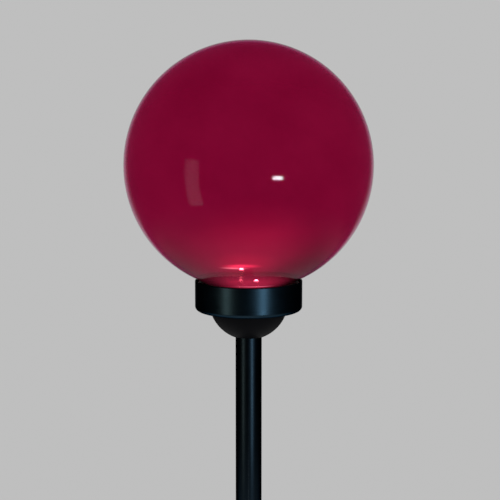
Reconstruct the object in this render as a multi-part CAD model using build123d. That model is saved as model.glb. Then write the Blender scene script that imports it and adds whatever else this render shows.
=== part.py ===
"""Garden globe light: a see-through ball on a metal collar, held up on a two-part pole with a ground spike.

All sizes are in millimetres. +Z is up and the origin is on the pole's axis at soil level, on the
underside of the spike's flange. The front of the light faces -Y.
"""

from build123d import *
import os
from math import cos, radians, sin, sqrt

# --- Driving dimensions -----------------------------------------------------------------------------
GLOBE_RADIUS = 100.0
GLOBE_WALL = 1.8
GLOBE_CENTRE = 500.0  # height of the ball's centre above the soil

NECK_RADIUS = 36.2  # outside of the globe's neck
NECK_FOOT = 394.0
THREAD_LEAD = 24.0  # rise in one whole turn of the globe
LUG_COUNT = 3
LUG_HEIGHT = 2.2  # measured along the axis
LUG_REACH = 1.8  # how far a lug stands out of the neck
LUG_RISE = 2.6

COLLAR_RADIUS = 43.4
COLLAR_WALL = 0.8
COLLAR_FOOT = 383.0
COLLAR_RIM = 407.5
COLLAR_CORNER = 3.6  # outside radius of the rounded bottom edge
COLLAR_BEAD = 1.1  # radius of the rolled top edge

RING_BORE = NECK_RADIUS + 0.4
RING_TOP = 405.6
RING_FOOT_THICKNESS = 1.4
GASKET_GAP = 0.3  # between the gasket and the ball

CUP_RADIUS = 32.3
CUP_CENTRE = 391.2
CUP_FOOT = 361.5
CUP_WALL = 2.0
CUP_SCREW_ANGLES = (90, 225, 315)
CUP_SCREW_CIRCLE = 23.0
SPIGOT_RADIUS = 8.0  # centres the collar on the cup

POLE_RADIUS = 10.65
POLE_BORE = 9.65
POLE_FIT = 0.05  # radial clearance of what slides in or over the pole
POLE_JOINT = 180.0  # middle of the coupler's bead
PLUG_LENGTH = 30.0  # how deep the coupler and the spike's plug go into the pole
PLUG_WALL = 2.2
PLUG_LEAD_IN = 1.2
COUPLER_BEAD = 1.5  # half the bead's height

TUB_RADIUS = 33.6
TUB_WALL = 2.0
TUB_FLOOR = 1.6
TUB_TOP = 403.9
SEAL_THICKNESS = 1.0
LID_TOP = 407.0
LID_FLOOR = 1.5  # under the panel
LID_RIB = 2.2  # how far the locating rib hangs below the plate
BOSS_RADIUS = 2.8
LID_SCREW_ANGLES = (25, 145, 265)
LID_SCREW_CIRCLE = 28.9

PANEL_SIDE = 36.0
PANEL_THICKNESS = 1.9
PANEL_SEAT = 405.2
PANEL_POCKET_GAP = 0.2
LED_RADIUS = 2.45
LED_RIM_RADIUS = 2.8
LED_PLACES = {"led_rear": (-6.0, 27.9), "led_front": (6.0, -27.9)}
LED_DOME_CENTRE = 410.0

CELL_RADIUS = 7.1
CELL_LENGTH = 49.0
CELL_Y = -6.0

BOARD_SIZE = (34.0, 17.0, 1.2)
BOARD_Y = 15.0
BOARD_HEIGHT = 5.2  # from the tub's floor to the board's underside
BOARD_PEG_X = 14.0
BOARD_PEG_Y = 20.0

SWITCH_PLACE = (-2.0, -21.6)
SWITCH_BODY = (8.6, 3.8, 3.4)
SLIDER_WIDTH = 2.0
SWITCH_TRAVEL = 4.0

WIRE_RADIUS = 0.5
PANEL_LEAD_X = (-3.4, -1.0)
PANEL_LEAD_Y = 3.0

FLANGE_RADIUS = 17.0
FLANGE_THICKNESS = 3.0
SPIKE_LENGTH = 140.0
FIN_REACH = 13.0
FIN_THICKNESS = 2.4

# --- Heights that follow from them -------------------------------------------------------------------
NECK_BORE = NECK_RADIUS - GLOBE_WALL
NECK_TOP = GLOBE_CENTRE - sqrt(GLOBE_RADIUS**2 - NECK_RADIUS**2)
LUG_FOOT = NECK_FOOT + 1.0
COLLAR_FLOOR = COLLAR_FOOT + COLLAR_WALL
TUB_FOOT = COLLAR_FLOOR + RING_FOOT_THICKNESS
TUB_INSIDE = TUB_FOOT + TUB_FLOOR
TUB_BORE = TUB_RADIUS - TUB_WALL
LID_UNDERSIDE = TUB_TOP + SEAL_THICKNESS
CELL_AXIS = TUB_INSIDE + 1.2 + CELL_RADIUS
BOARD_FOOT = TUB_INSIDE + BOARD_HEIGHT
BOARD_TOP = BOARD_FOOT + BOARD_SIZE[2]
SOCKET_TOP = COLLAR_FOOT - 2.0
PLUG_RADIUS = POLE_BORE - POLE_FIT

STANDING = (Align.CENTER, Align.CENTER, Align.MIN)


# --- Helpers -----------------------------------------------------------------------------------------
def rod(radius, low, high, at=(0, 0)):
    """Upright round solid between two heights."""
    return Pos(at[0], at[1], low) * Cylinder(radius, high - low, align=STANDING)


def tube(bore, radius, low, high, at=(0, 0)):
    """Upright round tube between two heights."""
    return rod(radius, low, high, at) - rod(bore, low - 1, high + 1, at)


def block(size_x, size_y, low, high, at=(0, 0)):
    """Upright square-cornered solid between two heights."""
    return Pos(at[0], at[1], low) * Box(size_x, size_y, high - low, align=STANDING)


def ball(radius, height):
    """Sphere centred on the axis at a height."""
    return Pos(0, 0, height) * Sphere(radius)


def polar(radius, degrees):
    """Point on a circle round the axis."""
    return radius * cos(radians(degrees)), radius * sin(radians(degrees))


def circle_edges(part, radius, height):
    """The part's round edges of one radius at one height."""
    found = part.edges().filter_by(GeomType.CIRCLE)
    return [e for e in found if abs(e.radius - radius) < 0.01 and abs(e.center().Z - height) < 0.01]


def helical_band(bore, radius, low, high, start, height):
    """Band that climbs at the globe's lead, as tall as height along the axis, cut level at both ends."""
    width = 360 * height / THREAD_LEAD
    outer = CenterArc((0, 0), radius, 0, width)
    inner = CenterArc((0, 0), bore, 0, width)
    section = make_face([outer, Line(outer @ 1, inner @ 1), inner, Line(inner @ 0, outer @ 0)]).face()
    turn = 360 * (high - low) / THREAD_LEAD
    band = Solid.extrude_linear_with_rotation(section, (0, 0, 0), (0, 0, high - low), turn)
    return Pos(0, 0, low) * Rot(0, 0, start) * band


def lead(points):
    """Insulated wire along a route: six-sided, with mitred corners."""
    route = Polyline(*points)
    section = Plane(origin=route @ 0, z_dir=route % 0) * RegularPolygon(WIRE_RADIUS, 6)
    return sweep(section, path=route, transition=Transition.RIGHT)


# --- Globe and its seat ------------------------------------------------------------------------------
def globe():
    """Hollow ball with a short neck, and three helical lugs round the neck."""
    outside = ball(GLOBE_RADIUS, GLOBE_CENTRE) + rod(NECK_RADIUS, NECK_FOOT, NECK_TOP + 1)
    inside = ball(GLOBE_RADIUS - GLOBE_WALL, GLOBE_CENTRE) + rod(NECK_BORE, NECK_FOOT - 1, NECK_TOP + 2)
    shell = outside - inside
    for step in range(LUG_COUNT):
        start = step * 360 / LUG_COUNT
        shell += helical_band(
            NECK_BORE + 0.6, NECK_RADIUS + LUG_REACH, LUG_FOOT, LUG_FOOT + LUG_RISE, start, LUG_HEIGHT
        )
    return shell


def globe_gasket():
    """Soft ring between the globe's shoulder and the threaded ring, its top shaped to the ball."""
    blank = tube(NECK_RADIUS + GASKET_GAP, 38.8, RING_TOP, 406.9)
    return blank - ball(GLOBE_RADIUS + GASKET_GAP, GLOBE_CENTRE)


def globe_ring():
    """Moulded ring that the globe screws into: grooved sleeve, top flange, ribs and a clamped foot."""
    sleeve_radius = 39.6
    flange_radius = 41.0
    flange_foot = RING_TOP - 1.6
    foot_bore = 26.5  # clears the heads of the cup's screws
    ring = tube(RING_BORE, sleeve_radius, COLLAR_FLOOR, RING_TOP)
    ring += tube(RING_BORE, flange_radius, flange_foot, RING_TOP)
    ring += tube(foot_bore, sleeve_radius, COLLAR_FLOOR, TUB_FOOT)
    rib = block(flange_radius - sleeve_radius + 1.0, 1.2, flange_foot - 8, flange_foot + 0.5, (39.9, 0))
    for step in range(9):
        ring += Rot(0, 0, 40 * step + 15) * rib
    clearance = 0.4
    for step in range(LUG_COUNT):
        start = step * 360 / LUG_COUNT - clearance * 360 / THREAD_LEAD
        ring -= helical_band(
            RING_BORE - 0.5,
            NECK_RADIUS + LUG_REACH + clearance,
            LUG_FOOT,
            RING_TOP + 1,
            start,
            LUG_HEIGHT + 2 * clearance,
        )
    return ring


def collar():
    """Deep-drawn metal cup: rounded bottom edge, rolled top edge, holes for the cup's screws and spigot."""
    outer = rod(COLLAR_RADIUS, COLLAR_FOOT, COLLAR_RIM - COLLAR_BEAD)
    outer = fillet(circle_edges(outer, COLLAR_RADIUS, COLLAR_FOOT), COLLAR_CORNER)
    bore = COLLAR_RADIUS - COLLAR_WALL
    inner = rod(bore, COLLAR_FLOOR, COLLAR_RIM)
    inner = chamfer(circle_edges(inner, bore, COLLAR_FLOOR), COLLAR_CORNER - COLLAR_WALL)
    bead_bore = COLLAR_RADIUS - 2 * COLLAR_BEAD
    bead = tube(bead_bore, COLLAR_RADIUS, COLLAR_RIM - 2 * COLLAR_BEAD, COLLAR_RIM)
    rim_edges = circle_edges(bead, COLLAR_RADIUS, COLLAR_RIM) + circle_edges(bead, bead_bore, COLLAR_RIM)
    bead = chamfer(rim_edges, 0.6 * COLLAR_BEAD)
    shell = outer - inner + bead
    shell -= rod(SPIGOT_RADIUS + 0.1, COLLAR_FOOT - 1, COLLAR_FLOOR + 1)
    for angle in CUP_SCREW_ANGLES:
        shell -= rod(1.7, COLLAR_FOOT - 1, COLLAR_FLOOR + 1, polar(CUP_SCREW_CIRCLE, angle))
    return shell


# --- Housing inside the collar -----------------------------------------------------------------------
def housing_base():
    """Moulded tub: cell cradle, contact walls, board posts, lid bosses and holes for the cup's screws."""
    tub = tube(TUB_BORE, TUB_RADIUS, TUB_FOOT, TUB_TOP) + rod(TUB_RADIUS, TUB_FOOT, TUB_INSIDE)
    for x in (-12, 12):
        saddle = block(1.6, 2 * CELL_RADIUS + 3.2, TUB_INSIDE - 0.5, CELL_AXIS, (x, CELL_Y))
        cell_room = Pos(x, CELL_Y, CELL_AXIS) * Rot(0, 90, 0) * Cylinder(CELL_RADIUS + 0.15, 4)
        tub += saddle - cell_room
    for x in (-28.4, 27.1):
        tub += block(1.2, 7.6, TUB_INSIDE - 0.5, CELL_AXIS + 4, (x, CELL_Y))
    for side in (-1, 1):
        place = (side * BOARD_PEG_X, BOARD_PEG_Y)
        tub += block(4.0, 4.0, TUB_INSIDE - 0.5, BOARD_FOOT, place)
        tub += rod(0.9, BOARD_FOOT - 0.5, BOARD_TOP + 1, place)
    for angle in LID_SCREW_ANGLES:
        place = polar(LID_SCREW_CIRCLE, angle)
        tub += rod(BOSS_RADIUS, TUB_INSIDE - 0.5, LID_UNDERSIDE, place)
        tub -= rod(0.9, LID_UNDERSIDE - 9, LID_UNDERSIDE + 1, place)
    for angle in CUP_SCREW_ANGLES:
        tub -= rod(1.5, TUB_FOOT - 1, TUB_INSIDE + 1, polar(CUP_SCREW_CIRCLE, angle))
    return tub


def housing_lid():
    """Plate over the tub: pocket for the panel, LED holes, switch slot, screw holes and a locating rib."""
    floor_side = PANEL_SIDE + 4
    floor_foot = PANEL_SEAT - LID_FLOOR
    rib_foot = LID_UNDERSIDE - LID_RIB
    lid = rod(TUB_RADIUS, LID_UNDERSIDE, LID_TOP)
    lid = chamfer(circle_edges(lid, TUB_RADIUS, LID_TOP), 0.4)
    lid += block(floor_side, floor_side, floor_foot, LID_UNDERSIDE)
    lid += tube(TUB_BORE - 1.7, TUB_BORE - 0.3, rib_foot, LID_UNDERSIDE)
    for angle in LID_SCREW_ANGLES:
        lid -= rod(BOSS_RADIUS + 0.3, rib_foot, LID_UNDERSIDE, polar(LID_SCREW_CIRCLE, angle))
        lid -= rod(1.2, rib_foot, LID_TOP + 1, polar(LID_SCREW_CIRCLE, angle))
    for place in LED_PLACES.values():
        lid -= rod(LED_RIM_RADIUS + 0.4, rib_foot, LID_UNDERSIDE, place)
        lid -= rod(LED_RADIUS + 0.1, rib_foot, LID_TOP + 1, place)
    size_x, size_y, _ = SWITCH_BODY
    lid -= block(size_x + 0.6, size_y + 0.6, rib_foot, LID_UNDERSIDE, SWITCH_PLACE)
    lid -= block(SWITCH_TRAVEL + 2.6, SLIDER_WIDTH + 0.4, rib_foot, LID_TOP + 1, SWITCH_PLACE)
    lid -= block(SWITCH_TRAVEL + 5.0, SLIDER_WIDTH + 1.8, LID_TOP - 0.6, LID_TOP + 1, SWITCH_PLACE)
    pocket_side = PANEL_SIDE + 2 * PANEL_POCKET_GAP
    lid -= block(pocket_side, pocket_side, PANEL_SEAT, LID_TOP + 1)
    wire_hole_x = sum(PANEL_LEAD_X) / 2
    return lid - block(5.0, 2.4, floor_foot - 1, LID_TOP, (wire_hole_x, PANEL_LEAD_Y))


def lid_seal():
    """Flat seal on the tub's wall."""
    return tube(TUB_BORE + 0.2, TUB_RADIUS - 0.2, TUB_TOP, LID_UNDERSIDE)


def cheese_screw(shank, length, head, head_height):
    """Cheese-head screw pointing down, with a cross recess; its head sits on height zero."""
    screw = rod(head, 0, head_height)
    for turn in (0, 90):
        screw -= Rot(0, 0, turn) * block(1.2 * head, 0.25 * head, 0.5 * head_height, head_height + 1)
    return screw + rod(shank, -length, 0.1)


def lid_screws():
    """Three screws that hold the lid on the tub's bosses."""
    screw = cheese_screw(0.85, 8.0, 1.9, 1.3)
    return [Pos(*polar(LID_SCREW_CIRCLE, angle), LID_TOP) * screw for angle in LID_SCREW_ANGLES]


def cup_screws():
    """Three screws from inside the tub, through ring and collar, into the cup's bosses."""
    screw = cheese_screw(1.3, 12.0, 2.7, 1.7)
    return [Pos(*polar(CUP_SCREW_CIRCLE, angle), TUB_INSIDE) * screw for angle in CUP_SCREW_ANGLES]


def solar_panel():
    """Square panel in the lid's pocket."""
    panel = block(PANEL_SIDE, PANEL_SIDE, PANEL_SEAT, PANEL_SEAT + PANEL_THICKNESS)
    return chamfer(panel.faces().sort_by(Axis.Z)[-1].edges(), 0.3)


def led(place):
    """Five-millimetre LED: base rim under the lid, barrel, and a domed top above it."""
    lens = rod(LED_RIM_RADIUS, LID_UNDERSIDE - 1, LID_UNDERSIDE, place)
    lens += rod(LED_RADIUS, LID_UNDERSIDE - 0.5, LED_DOME_CENTRE, place)
    return lens + Pos(*place, LED_DOME_CENTRE) * Sphere(LED_RADIUS)


# --- Electrics in the tub ----------------------------------------------------------------------------
def main_board():
    """Circuit board on two pegs."""
    board = block(*BOARD_SIZE[:2], BOARD_FOOT, BOARD_TOP, (0, BOARD_Y))
    for side in (-1, 1):
        board -= rod(1.0, BOARD_FOOT - 1, BOARD_TOP + 1, (side * BOARD_PEG_X, BOARD_PEG_Y))
    return board


def board_chip():
    """Eight-legged controller chip."""
    x, y = -9.5, 14.0
    chip = block(4.9, 3.9, BOARD_TOP + 0.1, BOARD_TOP + 1.5, (x, y))
    for step in range(4):
        leg_x = x - 1.9 + 1.27 * step
        for side in (-1, 1):
            chip += block(0.42, 0.8, BOARD_TOP, BOARD_TOP + 0.9, (leg_x, y + side * 2.2))
            chip += block(0.42, 1.0, BOARD_TOP, BOARD_TOP + 0.2, (leg_x, y + side * 2.8))
    return chip


def board_inductor():
    """Square shielded choke with cut corners, standing on the board."""
    choke = block(6.8, 6.8, BOARD_TOP, BOARD_TOP + 3.2, (1.0, 18.0))
    choke = chamfer(choke.edges().filter_by(Axis.Z), 1.4)
    return chamfer(choke.faces().sort_by(Axis.Z)[-1].edges(), 0.4)


def battery_cell():
    """Rechargeable cell lying along X, its cap towards +X."""
    body = Cylinder(CELL_RADIUS, CELL_LENGTH)
    body = chamfer(body.edges().filter_by(GeomType.CIRCLE), 0.5)
    cap = Pos(0, 0, CELL_LENGTH / 2 - 0.5) * Cylinder(2.7, 1.5, align=STANDING)
    return Pos(0.5, CELL_Y, CELL_AXIS) * Rot(0, 90, 0) * (body + cap)


def battery_contact():
    """Flat tab at the cell's cap."""
    tab = block(0.4, 8.0, TUB_INSIDE + 0.6, CELL_AXIS + 5, (26.3, CELL_Y))
    return tab - Pos(26.3, CELL_Y - 3, CELL_AXIS + 5) * Box(2, 3, 3)


def battery_spring():
    """Bowed leaf of spring steel at the cell's flat end."""
    back = -27.6
    touch = -24.2
    low = TUB_INSIDE + 0.6
    high = CELL_AXIS + 5
    line = Polyline(
        (back, low),
        (back, high),
        (back + 1.5, high),
        (touch, CELL_AXIS),
        (back + 1.4, low + 1.5),
    )
    strip = trace(line, line_width=0.35)
    leaf = extrude(Plane.XZ * strip, amount=4.0, both=True)
    return Pos(0, CELL_Y, 0) * leaf


def battery_leads():
    """Two wires from the cell's contacts to the board."""
    y = CELL_Y + 4.0
    z = CELL_AXIS + 3
    plus = lead([(26.3, y, z), (26.3, y + 4, z), (19, 9, z - 1), (13, 9, z - 1), (13, 9, BOARD_TOP)])
    minus = lead([(-27.6, y, z), (-27.6, y + 4, z), (-20, 9, z - 1), (-13, 9, z - 1), (-13, 9, BOARD_TOP)])
    return [plus, minus]


def panel_leads():
    """Two wires from under the panel to the board."""
    return [
        lead(
            [
                (x, PANEL_LEAD_Y, PANEL_SEAT),
                (x, PANEL_LEAD_Y, BOARD_TOP + 8),
                (x, 8.5, BOARD_TOP + 4),
                (x, 8.5, BOARD_TOP),
            ]
        )
        for x in PANEL_LEAD_X
    ]


def led_leads():
    """Four wires from the LEDs to the board."""
    rear_x, rear_y = LED_PLACES["led_rear"]
    front_x, front_y = LED_PLACES["led_front"]
    foot = LID_UNDERSIDE - 1
    over = CELL_AXIS + CELL_RADIUS + 0.7
    leads = []
    for side in (-1.27, 1.27):
        x = rear_x + side
        leads.append(lead([(x, rear_y, foot), (x, rear_y, foot - 4), (x, 21.5, 398), (x, 21.5, BOARD_TOP)]))
        x = front_x + side
        leads.append(
            lead(
                [
                    (x, front_y, foot),
                    (x, front_y, foot - 3.5),
                    (x, -19, over),
                    (x, 6, over),
                    (x, 9.5, over - 4),
                    (x, 9.5, BOARD_TOP),
                ]
            )
        )
    return leads


def switch_body():
    """Small slide switch under the lid, open at the top for its slider."""
    size_x, size_y, height = SWITCH_BODY
    body = block(size_x, size_y, LID_UNDERSIDE - height, LID_UNDERSIDE, SWITCH_PLACE)
    well = (SWITCH_TRAVEL + 3.4, SLIDER_WIDTH + 0.4)
    return body - block(*well, LID_UNDERSIDE - 1.8, LID_UNDERSIDE + 1, SWITCH_PLACE)


def switch_slider():
    """Ridged slider, at the end of its travel nearer -X."""
    x = SWITCH_PLACE[0] - SWITCH_TRAVEL / 2
    y = SWITCH_PLACE[1]
    slider = block(3.0, SLIDER_WIDTH, LID_UNDERSIDE - 1.7, LID_UNDERSIDE - 0.2, (x, y))
    slider += block(2.2, SLIDER_WIDTH, LID_UNDERSIDE - 0.3, LID_TOP + 0.9, (x, y))
    for step in (-0.6, 0, 0.6):
        slider -= block(0.25, SLIDER_WIDTH + 1, LID_TOP + 0.6, LID_TOP + 1, (x + step, y))
    return slider


# --- Cup, pole and spike -----------------------------------------------------------------------------
def cup():
    """Moulded ball-shaped cup under the collar: pole socket, ribs, screw bosses and a centring spigot."""
    outline = ball(CUP_RADIUS, CUP_CENTRE) & rod(CUP_RADIUS + 1, CUP_FOOT, COLLAR_FOOT)
    inside = ball(CUP_RADIUS - CUP_WALL, CUP_CENTRE)
    socket_radius = sqrt(CUP_RADIUS**2 - (CUP_CENTRE - CUP_FOOT) ** 2)
    core = rod(socket_radius, CUP_FOOT, COLLAR_FOOT)
    for angle in CUP_SCREW_ANGLES:
        core += rod(3.2, CUP_FOOT, COLLAR_FOOT, polar(CUP_SCREW_CIRCLE, angle))
    rib = block(CUP_RADIUS, 1.4, CUP_FOOT, COLLAR_FOOT - 1, (CUP_RADIUS / 2, 0))
    for angle in (*CUP_SCREW_ANGLES, 0, 180):
        core += Rot(0, 0, angle) * rib
    moulding = (outline - inside) + (core & outline)
    moulding += rod(SPIGOT_RADIUS, COLLAR_FOOT - 0.5, COLLAR_FLOOR)
    moulding -= rod(POLE_RADIUS + POLE_FIT, CUP_FOOT - 1, SOCKET_TOP)
    for angle in CUP_SCREW_ANGLES:
        moulding -= rod(1.35, COLLAR_FOOT - 9.5, COLLAR_FOOT + 1, polar(CUP_SCREW_CIRCLE, angle))
    return moulding


def pole_coupler():
    """Moulded sleeve inside both lengths of pole, with a bead between them."""
    foot = POLE_JOINT - PLUG_LENGTH
    top = POLE_JOINT + PLUG_LENGTH
    sleeve = rod(PLUG_RADIUS, foot, top)
    ends = circle_edges(sleeve, PLUG_RADIUS, foot) + circle_edges(sleeve, PLUG_RADIUS, top)
    sleeve = chamfer(ends, PLUG_LEAD_IN)
    sleeve += rod(POLE_RADIUS, POLE_JOINT - COUPLER_BEAD, POLE_JOINT + COUPLER_BEAD)
    return sleeve - rod(PLUG_RADIUS - PLUG_WALL, foot - 1, top + 1)


def ground_spike():
    """Moulded spike: hollow plug for the pole, flange at soil level and four tapered fins to a point."""
    plug_top = FLANGE_THICKNESS + PLUG_LENGTH
    plug = rod(PLUG_RADIUS, FLANGE_THICKNESS - 1, plug_top)
    plug = chamfer(circle_edges(plug, PLUG_RADIUS, plug_top), PLUG_LEAD_IN)
    plug -= rod(PLUG_RADIUS - PLUG_WALL, FLANGE_THICKNESS, plug_top + 1)
    for turn in (0, 90):
        plug += Rot(0, 0, turn) * block(2 * PLUG_RADIUS - 2, 1.6, FLANGE_THICKNESS - 0.5, plug_top - 3)
    flange = rod(FLANGE_RADIUS, 0, FLANGE_THICKNESS)
    flange = chamfer(circle_edges(flange, FLANGE_RADIUS, FLANGE_THICKNESS), 1.2)
    spike = plug + flange
    half_tip = 1.0
    blade = make_face(
        Polyline(
            (-FIN_REACH, 1),
            (FIN_REACH, 1),
            (FIN_REACH, -6),
            (half_tip, -SPIKE_LENGTH),
            (-half_tip, -SPIKE_LENGTH),
            (-FIN_REACH, -6),
            close=True,
        )
    )
    for turn in (45, 135):
        spike += Rot(0, 0, turn) * extrude(Plane.XZ * blade, amount=FIN_THICKNESS / 2, both=True)
    core_length = SPIKE_LENGTH - 4
    spike += Pos(0, 0, -core_length) * Cone(0.8, 3.6, core_length + 1, align=STANDING)
    for depth in (36, 72):
        web_side = FIN_REACH * (1 - depth / SPIKE_LENGTH)
        spike += block(web_side, web_side, -depth - 0.8, -depth + 0.8)
    return spike


# --- Write every piece -------------------------------------------------------------------------------
PIECES = {
    "globe": globe(),
    "globe_gasket": globe_gasket(),
    "globe_ring": globe_ring(),
    "collar": collar(),
    "housing_base": housing_base(),
    "housing_lid": housing_lid(),
    "lid_seal": lid_seal(),
    "lid_screws": Compound(children=lid_screws()),
    "solar_panel": solar_panel(),
    "led_rear": led(LED_PLACES["led_rear"]),
    "led_front": led(LED_PLACES["led_front"]),
    "main_board": main_board(),
    "board_chip": board_chip(),
    "board_inductor": board_inductor(),
    "battery_cell": battery_cell(),
    "battery_contact": battery_contact(),
    "battery_spring": battery_spring(),
    "battery_leads": Compound(children=battery_leads()),
    "panel_leads": Compound(children=panel_leads()),
    "led_leads": Compound(children=led_leads()),
    "switch_body": switch_body(),
    "switch_slider": switch_slider(),
    "cup": cup(),
    "cup_screws": Compound(children=cup_screws()),
    "pole_upper": tube(POLE_BORE, POLE_RADIUS, POLE_JOINT + COUPLER_BEAD, SOCKET_TOP),
    "pole_coupler": pole_coupler(),
    "pole_lower": tube(POLE_BORE, POLE_RADIUS, FLANGE_THICKNESS, POLE_JOINT - COUPLER_BEAD),
    "ground_spike": ground_spike(),
}

os.makedirs("parts", exist_ok=True)
for name, piece in PIECES.items():
    export_step(piece, f"parts/{name}.step")
    print(f"{name}: {len(piece.solids())} solid(s), {piece.volume:.0f} mm3")
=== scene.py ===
# %% [markdown]
# # A garden globe light
# The light is a see-through crimson ball on a short metal collar. A round black cup carries the collar on a
# pole of steel tube, and a finned spike holds the pole in the soil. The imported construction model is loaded
# first and stays as it is: every finer piece made below takes its place and size from it.

# %% Load the construction model
from math import acos, atan2, cos, degrees, pi, radians, sin, sqrt

import bpy
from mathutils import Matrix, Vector


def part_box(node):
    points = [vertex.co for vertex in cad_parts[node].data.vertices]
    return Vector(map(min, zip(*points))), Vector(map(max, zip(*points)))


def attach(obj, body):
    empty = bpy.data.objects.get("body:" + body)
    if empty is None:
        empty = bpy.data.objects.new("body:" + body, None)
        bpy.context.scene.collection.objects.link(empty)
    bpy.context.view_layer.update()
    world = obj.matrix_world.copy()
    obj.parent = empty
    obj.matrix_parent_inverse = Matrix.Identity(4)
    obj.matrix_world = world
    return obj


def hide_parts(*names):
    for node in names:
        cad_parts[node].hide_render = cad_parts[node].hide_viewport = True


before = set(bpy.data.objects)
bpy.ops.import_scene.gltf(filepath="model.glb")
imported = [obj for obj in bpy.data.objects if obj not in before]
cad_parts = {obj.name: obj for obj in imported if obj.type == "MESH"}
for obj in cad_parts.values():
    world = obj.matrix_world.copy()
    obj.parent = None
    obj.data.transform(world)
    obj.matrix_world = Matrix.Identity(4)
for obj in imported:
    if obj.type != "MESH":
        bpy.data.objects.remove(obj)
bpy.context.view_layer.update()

# %% [markdown]
# ## Sizes
# Heights and widths are read from the boxes of the construction nodes, in millimetres. Only what a box can't
# tell, such as the thickness of a wall, is written here as a number.

# %% Read the sizes
MM = 0.001


def reach(node):
    """Lowest height, highest height and half width of a node, in millimetres."""
    low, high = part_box(node)
    return low.z / MM, high.z / MM, (high.x - low.x) / 2 / MM


neck_foot, ball_top, ball_radius = reach("globe")
ball_centre = ball_top - ball_radius
collar_foot, collar_rim, collar_radius = reach("collar")
cup_foot, cup_top, _ = reach("cup")
pole_foot, joint_foot, pole_radius = reach("pole_lower")
joint_top, pole_top, _ = reach("pole_upper")

BALL_WALL = 1.8
NECK_RADIUS = 36.2
POLE_WALL = 1.0
POLE_FIT = 0.05  # radial clearance of what slides in or over the pole
print(f"ball {2 * ball_radius:.0f} mm across, its centre {ball_centre:.0f} mm above the soil")

# %% [markdown]
# ## Tools of the bench
# Most pieces of the light are round. The quickest true way to model a round piece is a lathe: one vertex is
# extruded along half of the outline, and the outline is spun round the axis. Arcs in an outline come from a
# formula, so that an edge has the radius of the real one. The other tools soften edges, place a finished
# piece on its body, and make a softened copy of a construction node.


# %% Select, edit and spin
SAME_PLACE = 0.001  # points nearer than this, in millimetres, are one


def select_only(piece):
    """Make one object the only selected one and the active one."""
    bpy.ops.object.select_all(action="DESELECT")
    piece.select_set(True)
    bpy.context.view_layer.objects.active = piece


def arc(radius, height, bend, start, end, steps=8):
    """Points (radius, height) of an arc, with its centre, its bend radius and its two angles in degrees."""
    angles = [radians(start + (end - start) * step / steps) for step in range(steps + 1)]
    return [(radius + bend * cos(a), height + bend * sin(a)) for a in angles]


def turned(name, outline, steps=160, at=(0.0, 0.0)):
    """Spin an outline of (radius, height) points, in millimetres, round an upright axis at a place."""
    bpy.ops.object.select_all(action="DESELECT")
    bpy.ops.mesh.primitive_plane_add(size=MM)
    piece = bpy.context.object
    piece.name = name
    bpy.ops.object.mode_set(mode="EDIT")
    bpy.ops.mesh.merge(type="CENTER")
    on_axis = outline[0][0] == 0 and outline[-1][0] == 0
    route = outline if on_axis else [*outline, outline[0]]
    here = Vector((route[0][0], 0, route[0][1]))
    bpy.ops.transform.translate(value=here * MM)
    for radius, height in route[1:]:
        there = Vector((radius, 0, height))
        bpy.ops.mesh.extrude_vertices_move(TRANSFORM_OT_translate={"value": (there - here) * MM})
        here = there
    bpy.ops.mesh.select_all(action="SELECT")
    bpy.ops.mesh.remove_doubles(threshold=SAME_PLACE * MM)
    bpy.ops.mesh.spin(steps=steps, angle=2 * pi, center=(0, 0, 0), axis=(0, 0, 1))
    bpy.ops.mesh.select_all(action="SELECT")
    bpy.ops.mesh.remove_doubles(threshold=SAME_PLACE * MM)
    bpy.ops.mesh.normals_make_consistent(inside=False)
    bpy.ops.transform.translate(value=(at[0] * MM, at[1] * MM, 0))
    bpy.ops.object.mode_set(mode="OBJECT")
    return piece


# %% Soften, copy and fit
FLAT_ENOUGH = 0.5  # triangles at less than this angle, in degrees, are joined
SMOOTH_BELOW = 30  # faces at less than this angle, in degrees, are shaded as one surface


def modify(piece, kind, **settings):
    """Add a modifier, set it and apply it."""
    select_only(piece)
    bpy.ops.object.modifier_add(type=kind)
    modifier = piece.modifiers[-1]
    for label, value in settings.items():
        setattr(modifier, label, value)
    bpy.ops.object.modifier_apply(modifier=modifier.name)


def soften(piece, width, segments=3, sharper_than=SMOOTH_BELOW):
    """Round every edge that is sharper than an angle, over a width in millimetres."""
    limit = radians(sharper_than)
    modify(piece, "BEVEL", width=width * MM, segments=segments, limit_method="ANGLE", angle_limit=limit)


def softened_copy(node, name, width, segments=2):
    """A copy of a construction node with its triangles joined into faces and its edges rounded."""
    piece = bpy.data.objects.new(name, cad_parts[node].data.copy())
    bpy.context.scene.collection.objects.link(piece)
    piece.data.materials.clear()
    select_only(piece)
    bpy.ops.object.mode_set(mode="EDIT")
    bpy.ops.mesh.select_all(action="SELECT")
    bpy.ops.mesh.remove_doubles(threshold=SAME_PLACE * MM)
    bpy.ops.mesh.dissolve_limited(angle_limit=radians(FLAT_ENOUGH))
    bpy.ops.object.mode_set(mode="OBJECT")
    soften(piece, width, segments)
    return piece


def fit(piece, body, slot, *nodes):
    """Shade the piece, put it on its body, and let it stand for the plainer nodes."""
    select_only(piece)
    bpy.ops.object.shade_smooth_by_angle(angle=radians(SMOOTH_BELOW))
    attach(piece, body)
    if nodes:
        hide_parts(*nodes)
    print(f"{piece.name}: {len(piece.data.polygons)} faces, moves with {body}")
    return piece


# %% [markdown]
# ## The ball
# The real ball is blown, with a wall of even thickness and a short neck. A sphere is cut level where the neck
# begins, the open edge is drawn in and down to form the neck, and Solidify then gives the skin its wall.
# Seen through the clear colour, both faces of the wall catch light, as they do on the real one.

# %% Blow the ball
SHOULDER_WIDTH = 1.2  # the ball turns into its neck over this much of the radius
SHOULDER_DROP = 2.0  # and over this much of the height


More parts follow.
